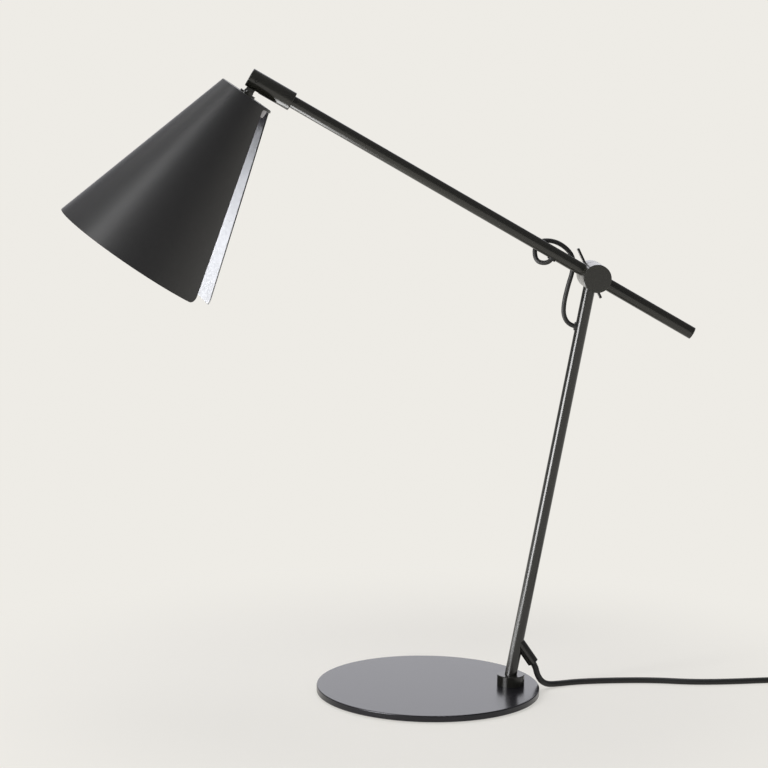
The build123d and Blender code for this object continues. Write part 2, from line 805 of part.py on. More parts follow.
def local_route(frame, points):
    """Points of a route in the part's frame, given in another frame."""
    return [frame.from_local_coords(Vector(*point)) for point in points]


# Hidden leads: from the arm's grommet to the block's slot, and from the outlet to the stem's grommet
arm_lead_points = local_route(
    arm_frame,
    [
        (-tube_bore_radius, 0, arm_grommet_distance),
        (0, 0, arm_grommet_distance),
        (0, 0, slot_floor - hinge_gap),
    ],
)
with BuildPart() as arm_lead:
    with BuildLine() as arm_lead_line:
        FilletPolyline(*arm_lead_points, radius=hidden_lead_bend)
    with BuildSketch(across_start(arm_lead_line.line)):
        Circle(lead_diameter / 2)
    sweep()
arm_lead.part.label = "arm_lead"
export_step(arm_lead.part, "parts/arm_lead.step")

outlet_inner_end = outlet_frame.from_local_coords(Vector(0, 0, outlet_length - bush_length))
stem_lead_points = local_route(
    stem_frame,
    [
        (-tube_bore_radius, 0, -stem_grommet_distance),
        (0, 0, -stem_grommet_distance),
        (0, 0, outlet_height - stem_reach),
    ],
)
stem_lead_points.append(outlet_inner_end)
with BuildPart() as stem_lead:
    with BuildLine() as stem_lead_line:
        FilletPolyline(*stem_lead_points, radius=[hidden_lead_bend, 2 * hidden_lead_bend])
    with BuildSketch(across_start(stem_lead_line.line)):
        Circle(lead_diameter / 2)
    sweep()
stem_lead.part.label = "stem_lead"
export_step(stem_lead.part, "parts/stem_lead.step")

# Lead loop: out of the arm's grommet, round a ring below the arm, up behind it, over and down
# behind it again, and round into the stem's grommet
lead_out_of_arm = local_route(
    arm_grommet_frame,
    [
        (0, 0, tube_bore_radius),
        (0, 0, tube_radius + grommet_stand + lead_exit_run),
    ],
)
lead_at_arm = local_route(
    arm_frame.offset(arm_grommet_distance),
    [
        (-16.1, 4.2, 12.2),
        (1.1, 9.9, 21.2),
        (11.8, 10.0, 3.6),
        (8.3, 10.0, -17.9),
    ],
)
lead_at_stem = local_route(
    stem_frame.offset(-stem_grommet_distance),
    [
        (-19.8, -4.8, 52.8),
        (-21.4, -3.6, 37.9),
        (-21.8, -2.2, 20.0),
        (-19.5, -1.0, 7.8),
    ],
)
lead_into_stem = local_route(
    stem_grommet_frame,
    [
        (0, 0, tube_diameter),
        (0, 0, tube_bore_radius),
    ],
)
lead_loop_points = lead_out_of_arm + lead_at_arm + lead_at_stem + lead_into_stem
with BuildPart() as lead_loop:
    with BuildLine() as lead_loop_line:
        FilletPolyline(*lead_loop_points, radius=corner_radii(lead_loop_points))
    with BuildSketch(across_start(lead_loop_line.line)):
        Circle(lead_diameter / 2)
    sweep()
lead_loop.part.label = "lead_loop"
export_step(lead_loop.part, "parts/lead_loop.step")
print("lead loop radii", [round(radius, 1) for radius in corner_radii(lead_loop_points)])
report_tube("lead loop", lead_loop.part, lead_loop_line, lead_diameter)

# ------------------------------------------------------------------------------------ mains cord
# The coil starts heading +X at its back and turns clockwise seen from above. Half turn n runs from
# crossing n to crossing n + 1, on alternate sides of the centre. It spirals in on the lower layer,
# climbs in one half turn and spirals out on the upper layer.
plate_edge_x = base_diameter / 2
cord_lying = cord_diameter / 2
coil_centre_x = plate_edge_x + coil_from_plate
coil_centre_y = coil_entry_y - coil_outer_radius
coil_low = tie_thickness + tie_height_gap + cord_diameter / 2
coil_high = coil_low + coil_layer_pitch
coil_step = coil_turn_pitch / 2
inward = [coil_outer_radius - coil_step * n for n in range(coil_lower_half_turns + 1)]
outward = [inward[-1] + coil_step * n for n in range(coil_upper_half_turns + 1)]
coil_crossings = [(reach, coil_low) for reach in inward] + [(reach, coil_high) for reach in outward]
coil_points = [
    Vector(coil_centre_x, coil_centre_y + reach * (-1) ** n, height)
    for n, (reach, height) in enumerate(coil_crossings)
]
coil_end_heading = Vector((-1) ** (len(coil_points) - 1), 0, 0)
coil_start = coil_points[0] - Vector(cord_diameter, 0, 0)
coil_end = coil_points[-1] + coil_end_heading * cord_diameter

with BuildPart() as cord_coil:
    with BuildLine() as coil_line:
        Line(coil_start, coil_points[0])
        for n in range(len(coil_points) - 1):
            TangentArc(coil_points[n], coil_points[n + 1], tangent=((-1) ** n, 0, 0))
        Line(coil_points[-1], coil_end)
    with BuildSketch(Plane(origin=coil_start, z_dir=(1, 0, 0))):
        Circle(cord_diameter / 2)
    sweep()
cord_coil.part.label = "cord_coil"
export_step(cord_coil.part, "parts/cord_coil.step")
report_tube("coil", cord_coil.part, coil_line, cord_diameter)


def least_self_gap(line, diameter, spacing=3.0):
    """Least gap of a tube to itself, between points of its line more than three diameters apart."""
    route = line.wire()
    count = int(route.length / spacing)
    points = [route @ (n / count) for n in range(count + 1)]
    apart = int(3 * diameter / spacing) + 1
    nearest = min((a - b).length for n, a in enumerate(points) for b in points[n + apart :])
    return nearest - diameter


print(f"coil: least gap to itself {least_self_gap(coil_line, cord_diameter):.2f} mm")

mains_cord_points = [
    outlet_inner_end,
    outlet_frame.from_local_coords(Vector(0, 0, outlet_length + cord_exit_run)),
    (plate_edge_x - 1.7, 0.8, 17.2),
    (plate_edge_x + 2.7, 3.2, 9.5),
    (plate_edge_x + 9.4, 8.8, 4.4),
    (plate_edge_x + 20.6, 15.2, cord_lying),
    (plate_edge_x + 41, 23.0, cord_lying),
    (plate_edge_x + 76, 27.6, cord_lying),
    (plate_edge_x + 119, 28.4, cord_lying),
    (plate_edge_x + 158.5, 20.6, cord_lying),
    (plate_edge_x + 193, 21.6, cord_lying),
    (plate_edge_x + 230, 26.3, cord_lying),
    (plate_edge_x + 262, coil_entry_y, coil_low),
    coil_start,
]
with BuildPart() as mains_cord:
    with BuildLine() as mains_cord_line:
        FilletPolyline(*mains_cord_points, radius=corner_radii(mains_cord_points))
    with BuildSketch(across_start(mains_cord_line.line)):
        Circle(cord_diameter / 2)
    sweep()
mains_cord.part.label = "mains_cord"
export_step(mains_cord.part, "parts/mains_cord.step")
print("mains cord radii", [round(radius, 1) for radius in corner_radii(mains_cord_points)])
report_tube("mains cord", mains_cord.part, mains_cord_line, cord_diameter)

tail_end = coil_end + Vector(plug_reach_x, plug_reach_y, plug_thickness / 2 - coil_high)
cord_tail_points = [
    coil_end,
    coil_end + Vector(16, 0, 0),
    coil_end + Vector(36, -3, cord_lying + 0.6 - coil_high),
    coil_end + Vector(60, -9, cord_lying + 0.2 - coil_high),
    tail_end - Vector(22, 0, 0),
    tail_end,
]
with BuildPart() as cord_tail:
    with BuildLine() as cord_tail_line:
        FilletPolyline(*cord_tail_points, radius=corner_radii(cord_tail_points))
    with BuildSketch(across_start(cord_tail_line.line)):
        Circle(cord_diameter / 2)
    sweep()
cord_tail.part.label = "cord_tail"
export_step(cord_tail.part, "parts/cord_tail.step")
print("cord tail radii", [round(radius, 1) for radius in corner_radii(cord_tail_points)])
report_tube("cord tail", cord_tail.part, cord_tail_line, cord_diameter)

# Band round the coil at its right-hand side, where both layers lie one above the other
bundle_outer = coil_outer_radius - coil_step / 2 + cord_diameter / 2
bundle_inner = inward[-1] + coil_step / 2 - cord_diameter / 2
tie_hole_width = bundle_outer - bundle_inner + 2 * tie_side_gap
tie_hole_height = coil_layer_pitch + cord_diameter + 2 * tie_height_gap
tie_middle_x = coil_centre_x + (bundle_outer + bundle_inner) / 2
tie_plane = Plane(
    origin=(tie_middle_x, coil_centre_y - tie_width / 2, tie_thickness + tie_hole_height / 2),
    x_dir=(1, 0, 0),
    z_dir=(0, 1, 0),
)
with BuildPart() as coil_tie:
    with BuildSketch(tie_plane):
        RectangleRounded(
            tie_hole_width + 2 * tie_thickness,
            tie_hole_height + 2 * tie_thickness,
            cord_diameter / 2 + tie_thickness,
        )
        RectangleRounded(tie_hole_width, tie_hole_height, cord_diameter / 2, mode=Mode.SUBTRACT)
    extrude(amount=tie_width)
coil_tie.part.label = "coil_tie"
export_step(coil_tie.part, "parts/coil_tie.step")

# Flat plug, lying on the surface with its pins away from the lamp
plug_plane = Plane(origin=tail_end, x_dir=(1, 0, 0), z_dir=(0, 0, 1))
plug_face_x = plug_neck_length + plug_length
with BuildPart() as plug_body:
    with BuildSketch(plug_plane.offset(-plug_thickness / 2)):
        with BuildLine():
            Polyline(
                (plug_neck_length, -plug_nose_width / 2),
                (plug_neck_length + plug_shoulder, -plug_width / 2),
                (plug_face_x, -plug_width / 2),
                (plug_face_x, plug_width / 2),
                (plug_neck_length + plug_shoulder, plug_width / 2),
                (plug_neck_length, plug_nose_width / 2),
                close=True,
            )
        make_face()
    extrude(amount=plug_thickness)
    fillet(plug_body.edges(), plug_edge)
    # Tapered neck round the cord, with ribs that let it bend
    neck_start = Plane(origin=tail_end, z_dir=(1, 0, 0))
    with Locations(neck_start):
        Cone(
            plug_neck_end_diameter / 2 - plug_rib_depth,
            plug_neck_diameter / 2 - plug_rib_depth,
            plug_neck_length,
            align=(Align.CENTER, Align.CENTER, Align.MIN),
        )
    rib_pitch = plug_neck_length / (plug_rib_count + 0.5)
    for rib in range(plug_rib_count):
        share = rib * rib_pitch / plug_neck_length
        with BuildSketch(neck_start.offset(rib * rib_pitch)):
            Circle((plug_neck_end_diameter * (1 - share) + plug_neck_diameter * share) / 2)
        extrude(amount=rib_pitch / 2)
    with BuildSketch(Plane(origin=tail_end + Vector(plug_face_x, 0, 0), x_dir=(0, 1, 0), z_dir=(1, 0, 0))):
        with GridLocations(pin_spacing, 1, 2, 1):
            Circle(pin_diameter / 2)
    extrude(amount=-pin_rooted, mode=Mode.SUBTRACT)
plug_body.part.label = "plug_body"
export_step(plug_body.part, "parts/plug_body.step")

pin_root = Plane(origin=tail_end + Vector(plug_face_x - pin_rooted, 0, 0), x_dir=(0, 1, 0), z_dir=(1, 0, 0))
with BuildPart() as plug_pins:
    with BuildSketch(pin_root):
        with GridLocations(pin_spacing, 1, 2, 1):
            Circle(pin_diameter / 2)
    extrude(amount=pin_rooted + pin_length)
    fillet(plug_pins.edges().group_by(Axis.X)[-1], pin_diameter / 4)
plug_pins.part.label = "plug_pins"
export_step(plug_pins.part, "parts/plug_pins.step")

free_lines = (mains_cord_line, coil_line, cord_tail_line)
print(f"cord in all: {sum(line.wire().length for line in free_lines):.1f} mm")
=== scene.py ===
from math import cos, pi, radians, sin

import bpy
from mathutils import Matrix, Vector


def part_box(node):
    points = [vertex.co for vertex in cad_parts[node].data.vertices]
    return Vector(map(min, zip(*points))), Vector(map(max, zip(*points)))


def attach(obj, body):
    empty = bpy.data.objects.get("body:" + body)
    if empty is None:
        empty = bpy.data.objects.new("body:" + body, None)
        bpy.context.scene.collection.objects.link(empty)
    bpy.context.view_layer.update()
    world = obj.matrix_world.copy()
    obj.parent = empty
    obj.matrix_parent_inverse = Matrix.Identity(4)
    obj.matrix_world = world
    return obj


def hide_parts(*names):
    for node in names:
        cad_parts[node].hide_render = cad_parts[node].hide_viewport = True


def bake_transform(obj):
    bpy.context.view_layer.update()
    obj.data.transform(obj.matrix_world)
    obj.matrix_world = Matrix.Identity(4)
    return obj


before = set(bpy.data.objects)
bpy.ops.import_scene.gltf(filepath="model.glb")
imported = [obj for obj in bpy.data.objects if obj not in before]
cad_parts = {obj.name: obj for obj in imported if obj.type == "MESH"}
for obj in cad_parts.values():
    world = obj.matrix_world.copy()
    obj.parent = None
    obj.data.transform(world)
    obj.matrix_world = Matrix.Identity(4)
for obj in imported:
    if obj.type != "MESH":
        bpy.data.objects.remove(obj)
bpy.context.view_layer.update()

# ---------------------------------------------------------------------------------- base plate
# A round steel plate, turned and powder coated satin black. The grain of the powder breaks up
# its gloss, and seen at a low angle the plate mirrors the pale room.


def powder_coat(name, colour, roughness, grain, shine=0.5):
    """Satin powder coat: the grain is the width in metres of the dimples that it dries in."""
    material = bpy.data.materials.new(name)
    material.use_nodes = True
    nodes = material.node_tree.nodes
    links = material.node_tree.links
    coat = nodes["Principled BSDF"]
    coat.inputs["Specular IOR Level"].default_value = shine
    place = nodes.new("ShaderNodeTexCoord")

    clouds = nodes.new("ShaderNodeTexNoise")
    clouds.inputs["Scale"].default_value = 35.0
    clouds.inputs["Detail"].default_value = 4.0
    links.new(place.outputs["Object"], clouds.inputs["Vector"])

    tint = nodes.new("ShaderNodeMix")
    tint.data_type = "RGBA"
    tint.inputs["A"].default_value = [0.85 * part for part in colour] + [1.0]
    tint.inputs["B"].default_value = [1.15 * part for part in colour] + [1.0]
    links.new(clouds.outputs["Fac"], tint.inputs["Factor"])
    links.new(tint.outputs["Result"], coat.inputs["Base Color"])

    dimples = nodes.new("ShaderNodeTexNoise")
    dimples.inputs["Scale"].default_value = 1.0 / grain
    dimples.inputs["Detail"].default_value = 2.0
    links.new(place.outputs["Object"], dimples.inputs["Vector"])

    gloss = nodes.new("ShaderNodeMapRange")
    gloss.inputs["To Min"].default_value = roughness - 0.03
    gloss.inputs["To Max"].default_value = roughness + 0.03
    links.new(dimples.outputs["Fac"], gloss.inputs["Value"])
    links.new(gloss.outputs["Result"], coat.inputs["Roughness"])

    relief = nodes.new("ShaderNodeBump")
    relief.inputs["Strength"].default_value = 0.1
    relief.inputs["Distance"].default_value = grain / 50
    links.new(dimples.outputs["Fac"], relief.inputs["Height"])
    links.new(relief.outputs["Normal"], coat.inputs["Normal"])
    return material


def give_finish(material, *names):
    """Puts a material on CAD nodes."""
    for name in names:
        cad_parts[name].material_slots[0].material = material


base_coat = powder_coat("base_coat", (0.012, 0.0115, 0.014), 0.22, 0.0006, shine=0.45)
base_shader = base_coat.node_tree.nodes["Principled BSDF"]
base_shader.inputs["Specular Tint"].default_value = (0.94, 0.94, 1, 1)
give_finish(base_coat, "base_plate")

# ------------------------------------------------------------------------------------ base pad
# A disc of black cellular rubber, glued under the plate so that it doesn't slide or scratch. Its
# lower edge is cut round.
pad_low, pad_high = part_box("base_pad")
pad_radius = (pad_high.x - pad_low.x) / 2
pad_thickness = pad_high.z - pad_low.z
pad_edge_round = 0.3 * pad_thickness

bpy.ops.object.select_all(action="DESELECT")
bpy.ops.mesh.primitive_cylinder_add(
    vertices=128,
    radius=pad_radius,
    depth=pad_thickness,
    location=(0, 0, pad_thickness / 2),
)
rubber_pad = bpy.context.object
rubber_pad.name = "rubber_pad"
bpy.ops.object.transform_apply(location=True, rotation=True, scale=True)
pad_bevel = rubber_pad.modifiers.new("cut edge", "BEVEL")
pad_bevel.width = pad_edge_round
pad_bevel.segments = 3
bpy.ops.object.modifier_apply(modifier=pad_bevel.name)
bpy.ops.object.shade_smooth_by_angle(angle=radians(30))


def soft_black(name, colour, roughness, scale, depth):
    """Matt black rubber or plastic with a fine grain: scale is per metre, depth is in metres."""
    material = bpy.data.materials.new(name)
    material.use_nodes = True
    nodes = material.node_tree.nodes
    links = material.node_tree.links
    skin = nodes["Principled BSDF"]
    skin.inputs["Specular IOR Level"].default_value = 0.4
    place = nodes.new("ShaderNodeTexCoord")

    grain = nodes.new("ShaderNodeTexNoise")
    grain.inputs["Scale"].default_value = scale
    grain.inputs["Detail"].default_value = 5.0
    grain.inputs["Roughness"].default_value = 0.6
    links.new(place.outputs["Object"], grain.inputs["Vector"])

    tint = nodes.new("ShaderNodeMix")
    tint.data_type = "RGBA"
    tint.inputs["A"].default_value = [0.75 * part for part in colour] + [1.0]
    tint.inputs["B"].default_value = [1.3 * part for part in colour] + [1.0]
    links.new(grain.outputs["Fac"], tint.inputs["Factor"])
    links.new(tint.outputs["Result"], skin.inputs["Base Color"])

    gloss = nodes.new("ShaderNodeMapRange")
    gloss.inputs["To Min"].default_value = roughness - 0.08
    gloss.inputs["To Max"].default_value = roughness + 0.08
    links.new(grain.outputs["Fac"], gloss.inputs["Value"])
    links.new(gloss.outputs["Result"], skin.inputs["Roughness"])

    relief = nodes.new("ShaderNodeBump")
    relief.inputs["Strength"].default_value = 0.5
    relief.inputs["Distance"].default_value = depth
    links.new(grain.outputs["Fac"], relief.inputs["Height"])
    links.new(relief.outputs["Normal"], skin.inputs["Normal"])
    return material


pad_rubber = soft_black("pad_rubber", (0.045, 0.045, 0.044), 0.75, 900.0, 0.0002)
rubber_pad.data.materials.append(pad_rubber)
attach(rubber_pad, "stand")
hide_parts("base_pad")

# ------------------------------------------------------------------- collar, stem and arm parts
# The stem and its outlet are drawn steel tube, and the arm and the turned pieces are a shade
# rougher under the same satin black powder coat, so it comes out glossier on the stem.
stem_coat = powder_coat("stem_coat", (0.016, 0.0155, 0.0125), 0.20, 0.0003, shine=0.65)
give_finish(stem_coat, "stem_tube", "cable_outlet")

turned_coat = powder_coat("turned_coat", (0.021, 0.0205, 0.016), 0.22, 0.0005, shine=0.55)
give_finish(
    turned_coat,
    "collar",
    "stem_hub",
    "arm_hub",
    "clamp_screw",
    "tommy_bar",
    "arm_tube",
    "tail_plug",
    "head_block",
    "knuckle",
    "hinge_pin",
    "seat_washer",
)

# --------------------------------------------------------------------------- zinc-plated steel
# The small fasteners and the rod in the arm's tail: turned steel with fine tool marks, under
# bright zinc plating.


def turned_metal(name, colour, roughness, marks):
    """Bare or plated metal with fine streaks; marks is how many there are in a metre."""
    material = bpy.data.materials.new(name)
    material.use_nodes = True
    nodes = material.node_tree.nodes
    links = material.node_tree.links
    metal = nodes["Principled BSDF"]
    metal.inputs["Metallic"].default_value = 1.0
    place = nodes.new("ShaderNodeTexCoord")

    stretch = nodes.new("ShaderNodeMapping")
    stretch.inputs["Scale"].default_value = (marks, marks / 12, marks)
    links.new(place.outputs["Object"], stretch.inputs["Vector"])

    streaks = nodes.new("ShaderNodeTexNoise")
    streaks.inputs["Scale"].default_value = 1.0
    streaks.inputs["Detail"].default_value = 6.0
    links.new(stretch.outputs["Vector"], streaks.inputs["Vector"])

    tint = nodes.new("ShaderNodeMix")
    tint.data_type = "RGBA"
    tint.inputs["A"].default_value = [0.85 * part for part in colour] + [1.0]
    tint.inputs["B"].default_value = list(colour) + [1.0]
    links.new(streaks.outputs["Fac"], tint.inputs["Factor"])
    links.new(tint.outputs["Result"], metal.inputs["Base Color"])

    gloss = nodes.new("ShaderNodeMapRange")
    gloss.inputs["To Min"].default_value = roughness - 0.07
    gloss.inputs["To Max"].default_value = roughness + 0.09
    links.new(streaks.outputs["Fac"], gloss.inputs["Value"])
    links.new(gloss.outputs["Result"], metal.inputs["Roughness"])

    relief = nodes.new("ShaderNodeBump")
    relief.inputs["Strength"].default_value = 0.2
    relief.inputs["Distance"].default_value = 0.00002
    links.new(streaks.outputs["Fac"], relief.inputs["Height"])
    links.new(relief.outputs["Normal"], metal.inputs["Normal"])
    return material


give_finish(
    turned_metal("zinc_plate", (0.62, 0.62, 0.60), 0.32, 4000.0),
    "collar_screws",
    "counterweight_rod",
    "block_set_screw",
    "spring_washer",
    "stud_nut",
)

# ----------------------------------------------------------------- friction washer and grommets
# The washer between the hubs is pressed fibre. The two grommets and the bush in the outlet are
# moulded black rubber.
pressed_fibre = soft_black("pressed_fibre", (0.10, 0.085, 0.07), 0.8, 2500.0, 0.0001)
give_finish(pressed_fibre, "friction_washer")
give_finish(
    soft_black("moulded_rubber", (0.022, 0.022, 0.021), 0.5, 1500.0, 0.00004),
    "stem_grommet",
    "arm_grommet",
    "outlet_bush",
)

# --------------------------------------------------------------------------------------- shade
# Spun aluminium cone, slotted down one side, powder coated matt black outside and on its cut
# edges. It is sprayed silvery white inside from its mouth, with painted shade in dark grey near
# its top.
shade_top = (-0.1817927, -0.015, 0.5838467)
shade_tilt = radians(33.8)
shade_top_radius = 0.0272
shade_flare = 0.3033049
sheet_across = 0.001254
top_thickness = 0.0015
inside_of_wall = -0.93 * sheet_across
inside_of_top = -0.95 * top_thickness
# Depths below the top at which the painted shade inside the top is still full, and at which it has
# faded into the white
painted_shade_full_depth = -0.012
painted_shade_end_depth = -0.026

shade_paint = powder_coat("shade_paint", (0.011, 0.0105, 0.0105), 0.45, 0.0006, shine=0.7)
paint_nodes = shade_paint.node_tree.nodes
paint_links = shade_paint.node_tree.links

# The shade's own frame: z along its axis, up from its top
shade_place = paint_nodes.new("ShaderNodeMapping")
shade_place.vector_type = "TEXTURE"
shade_place.inputs["Location"].default_value = shade_top
shade_place.inputs["Rotation"].default_value = (0, shade_tilt, 0)
paint_links.new(paint_nodes["Texture Coordinate"].outputs["Object"], shade_place.inputs["Vector"])
shade_split = paint_nodes.new("ShaderNodeSeparateXYZ")
paint_links.new(shade_place.outputs["Vector"], shade_split.inputs["Vector"])


def paint_sum(operation, first, second):
    """A Math node of the shade's paint; each input is a socket or a number."""
    node = paint_nodes.new("ShaderNodeMath")
    node.operation = operation
    for socket, value in zip(node.inputs, (first, second)):
        if isinstance(value, bpy.types.NodeSocket):
            paint_links.new(value, socket)
        else:
            socket.default_value = value
    return node.outputs["Value"]


# The white lies where a point is nearly the sheet's thickness in from the cone and from the top
across_squared = paint_sum("MULTIPLY", shade_split.outputs["X"], shade_split.outputs["X"])
along_squared = paint_sum("MULTIPLY", shade_split.outputs["Y"], shade_split.outputs["Y"])
radius = paint_sum("SQRT", paint_sum("ADD", across_squared, along_squared), 0.0)
flare = paint_sum("MULTIPLY", shade_split.outputs["Z"], shade_flare)
inset = paint_sum("SUBTRACT", paint_sum("ADD", radius, flare), shade_top_radius)
under_wall = paint_sum("LESS_THAN", inset, inside_of_wall)
under_top = paint_sum("LESS_THAN", shade_split.outputs["Z"], inside_of_top)
inside = paint_sum("MULTIPLY", under_wall, under_top)

white_spray = paint_nodes.new("ShaderNodeBsdfPrincipled")
white_spray.inputs["Metallic"].default_value = 0.1
white_grain = paint_nodes.new("ShaderNodeTexNoise")
white_grain.inputs["Scale"].default_value = 1400.0
white_grain.inputs["Detail"].default_value = 3.0
paint_links.new(paint_nodes["Texture Coordinate"].outputs["Object"], white_grain.inputs["Vector"])
white_tint = paint_nodes.new("ShaderNodeMix")
white_tint.data_type = "RGBA"
white_tint.inputs["A"].default_value = (0.60, 0.61, 0.64, 1)
white_tint.inputs["B"].default_value = (0.69, 0.70, 0.73, 1)
paint_links.new(white_grain.outputs["Fac"], white_tint.inputs["Factor"])
# Painted shade: the white inside turns dark grey towards the top, where the top shades it
painted_shade_fade = paint_nodes.new("ShaderNodeMapRange")
painted_shade_fade.interpolation_type = "SMOOTHSTEP"
painted_shade_fade.inputs["From Min"].default_value = painted_shade_full_depth
painted_shade_fade.inputs["From Max"].default_value = painted_shade_end_depth
paint_links.new(shade_split.outputs["Z"], painted_shade_fade.inputs["Value"])
inside_colour_painted_shade = paint_nodes.new("ShaderNodeMix")
inside_colour_painted_shade.data_type = "RGBA"
inside_colour_painted_shade.inputs["A"].default_value = (0.10, 0.095, 0.11, 1)
paint_links.new(painted_shade_fade.outputs["Result"], inside_colour_painted_shade.inputs["Factor"])
paint_links.new(white_tint.outputs["Result"], inside_colour_painted_shade.inputs["B"])
paint_links.new(inside_colour_painted_shade.outputs["Result"], white_spray.inputs["Base Color"])
white_gloss = paint_nodes.new("ShaderNodeMapRange")
white_gloss.inputs["To Min"].default_value = 0.35
white_gloss.inputs["To Max"].default_value = 0.55
paint_links.new(white_grain.outputs["Fac"], white_gloss.inputs["Value"])
paint_links.new(white_gloss.outputs["Result"], white_spray.inputs["Roughness"])

paint_choice = paint_nodes.new("ShaderNodeMixShader")
paint_links.new(inside, paint_choice.inputs["Fac"])
paint_links.new(paint_nodes["Principled BSDF"].outputs["BSDF"], paint_choice.inputs[1])
paint_links.new(white_spray.outputs["BSDF"], paint_choice.inputs[2])
paint_links.new(paint_choice.outputs["Shader"], paint_nodes["Material Output"].inputs["Surface"])
give_finish(shade_paint, "shade")

# The cup in the shade's top is spun steel; its dark grey is painted shade, like the inside's top
cup_steel_painted_shade = turned_metal("cup_steel_painted_shade", (0.32, 0.31, 0.33), 0.36, 3000.0)
give_finish(cup_steel_painted_shade, "shade_cup")

# -------------------------------------------------------------------------- lampholder and lamp
# Black moulded holder with a brass screw shell and contact, and a frosted lamp with a drawn
# aluminium cap.
holder_moulding = soft_black("holder_moulding", (0.024, 0.024, 0.023), 0.38, 1200.0, 0.00003)
give_finish(holder_moulding, "lampholder")
brass = turned_metal("brass", (0.82, 0.62, 0.30), 0.28, 5000.0)
give_finish(brass, "thread_shell", "centre_contact")
lamp_cap = turned_metal("lamp_cap", (0.80, 0.80, 0.79), 0.30, 3500.0)
give_finish(lamp_cap, "bulb_cap")

frosted_glass = bpy.data.materials.new("frosted_glass")
frosted_glass.use_nodes = True
glass_nodes = frosted_glass.node_tree.nodes
glass_links = frosted_glass.node_tree.links
glass = glass_nodes["Principled BSDF"]
glass.inputs["Base Color"].default_value = (0.93, 0.93, 0.91, 1)
glass.inputs["Transmission Weight"].default_value = 0.25
glass.inputs["Coat Weight"].default_value = 0.3
glass.inputs["Coat Roughness"].default_value = 0.1
glass_place = glass_nodes.new("ShaderNodeTexCoord")
frost = glass_nodes.new("ShaderNodeTexNoise")
frost.inputs["Scale"].default_value = 6000.0
glass_links.new(glass_place.outputs["Object"], frost.inputs["Vector"])
frost_gloss = glass_nodes.new("ShaderNodeMapRange")
frost_gloss.inputs["To Min"].default_value = 0.40
frost_gloss.inputs["To Max"].default_value = 0.60
glass_links.new(frost.outputs["Fac"], frost_gloss.inputs["Value"])
glass_links.new(frost_gloss.outputs["Result"], glass.inputs["Roughness"])
give_finish(frosted_glass, "bulb_glass")

# ---------------------------------------------------------------------------------- mains cord
# Round black mains cord, 6 mm thick and 1.8 m long: out of the outlet, down past the plate's
# edge, along the surface to the right, wound up in a coil and on to its plug.
cord_diameter = 0.006
cord_exit = (0.09995, 0, 0.03506)
outlet_run = [cord_exit, (0.10637, 0, 0.02588)]
floor_run = [
    (0.1083, 0.0008, 0.0172),
    (0.1127, 0.0032, 0.0095),
    (0.1194, 0.0088, 0.0044),
    (0.1306, 0.0152, 0.0030),
    (0.1510, 0.0230, 0.0030),
    (0.1860, 0.0276, 0.0030),
    (0.2290, 0.0284, 0.0030),
    (0.2685, 0.0206, 0.0030),
    (0.3030, 0.0216, 0.0030),
    (0.3400, 0.0263, 0.0030),
    (0.3720, 0.0272, 0.0039),
]
tail_run = [
    (0.4260, 0.0311, 0.0107),
    (0.4460, 0.0281, 0.0036),
    (0.4700, 0.0221, 0.0032),
    (0.4920, 0.0191, 0.00685),
    (0.5140, 0.0191, 0.00685),
]

# Half turns of the coil, from its back at +Y and clockwise from above: in on the lower layer, up
# in one half turn, and out on the upper layer
coil_x = 0.404
coil_y = -0.0188
coil_reach = 0.046
turn_pitch = 0.0078
lower_height = 0.0039
upper_height = 0.0107
lower_crossings = 6
upper_crossings = 7
points_per_half_turn = 8

lower_reach = [coil_reach - turn_pitch / 2 * n for n in range(lower_crossings)]
upper_reach = [lower_reach[-1] + turn_pitch / 2 * n for n in range(upper_crossings)]
crossings = [(reach, lower_height) for reach in lower_reach]
crossings += [(reach, upper_height) for reach in upper_reach]
spread = 1 / cos(pi / (2 * points_per_half_turn))

coil_run = [(coil_x - cord_diameter, coil_y + lower_reach[0], lower_height)]
for half_turn, (crossing, next_crossing) in enumerate(zip(crossings, crossings[1:])):
    reach, height = crossing
    next_reach, next_height = next_crossing
    side = (-1) ** half_turn
    middle_y = coil_y + side * (reach - next_reach) / 2
    bend = (reach + next_reach) / 2 * spread
    for step in range(points_per_half_turn):
        share = (step + 0.5) / points_per_half_turn
        climb = share * share * (3 - 2 * share)
        coil_run.append(
            (
                coil_x + side * bend * sin(pi * share),
                middle_y + side * bend * cos(pi * share),
                height + (next_height - height) * climb,
            )
        )
coil_run.append((coil_x + cord_diameter, coil_y + upper_reach[-1], upper_height))


def route_curve(name, points, thickness):
    """A smooth tube along a route's points, as a curve of one spline."""
    curve = bpy.data.curves.new(name, "CURVE")
    curve.dimensions = "3D"
    spline = curve.splines.new("NURBS")
    spline.points.add(len(points) - 1)
    for point, place in zip(spline.points, points):
        point.co = (*place, 1)
    spline.order_u = 3
    spline.use_endpoint_u = True
    spline.resolution_u = 6
    curve.bevel_depth = thickness / 2
    curve.bevel_resolution = 5
    curve.use_fill_caps = True
    piece = bpy.data.objects.new(name, curve)
    bpy.context.scene.collection.objects.link(piece)
    return piece


cord_sheath = soft_black("cord_sheath", (0.020, 0.020, 0.019), 0.5, 2200.0, 0.00005)
power_cord = route_curve("power_cord", outlet_run + floor_run + coil_run + tail_run, cord_diameter)
power_cord.data.materials.append(cord_sheath)
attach(power_cord, "stand")
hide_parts("mains_cord", "cord_coil", "cord_tail")

# --------------------------------------------------------------------------------------- plug
# Black moulded flat plug with a ribbed neck and two plain brass pins, lying on the surface.
plug_moulding = soft_black("plug_moulding", (0.024, 0.024, 0.023), 0.45, 1400.0, 0.00004)
give_finish(plug_moulding, "plug_body")
pin_brass = turned_metal("pin_brass", (0.80, 0.63, 0.34), 0.24, 6000.0)
give_finish(pin_brass, "plug_pins")

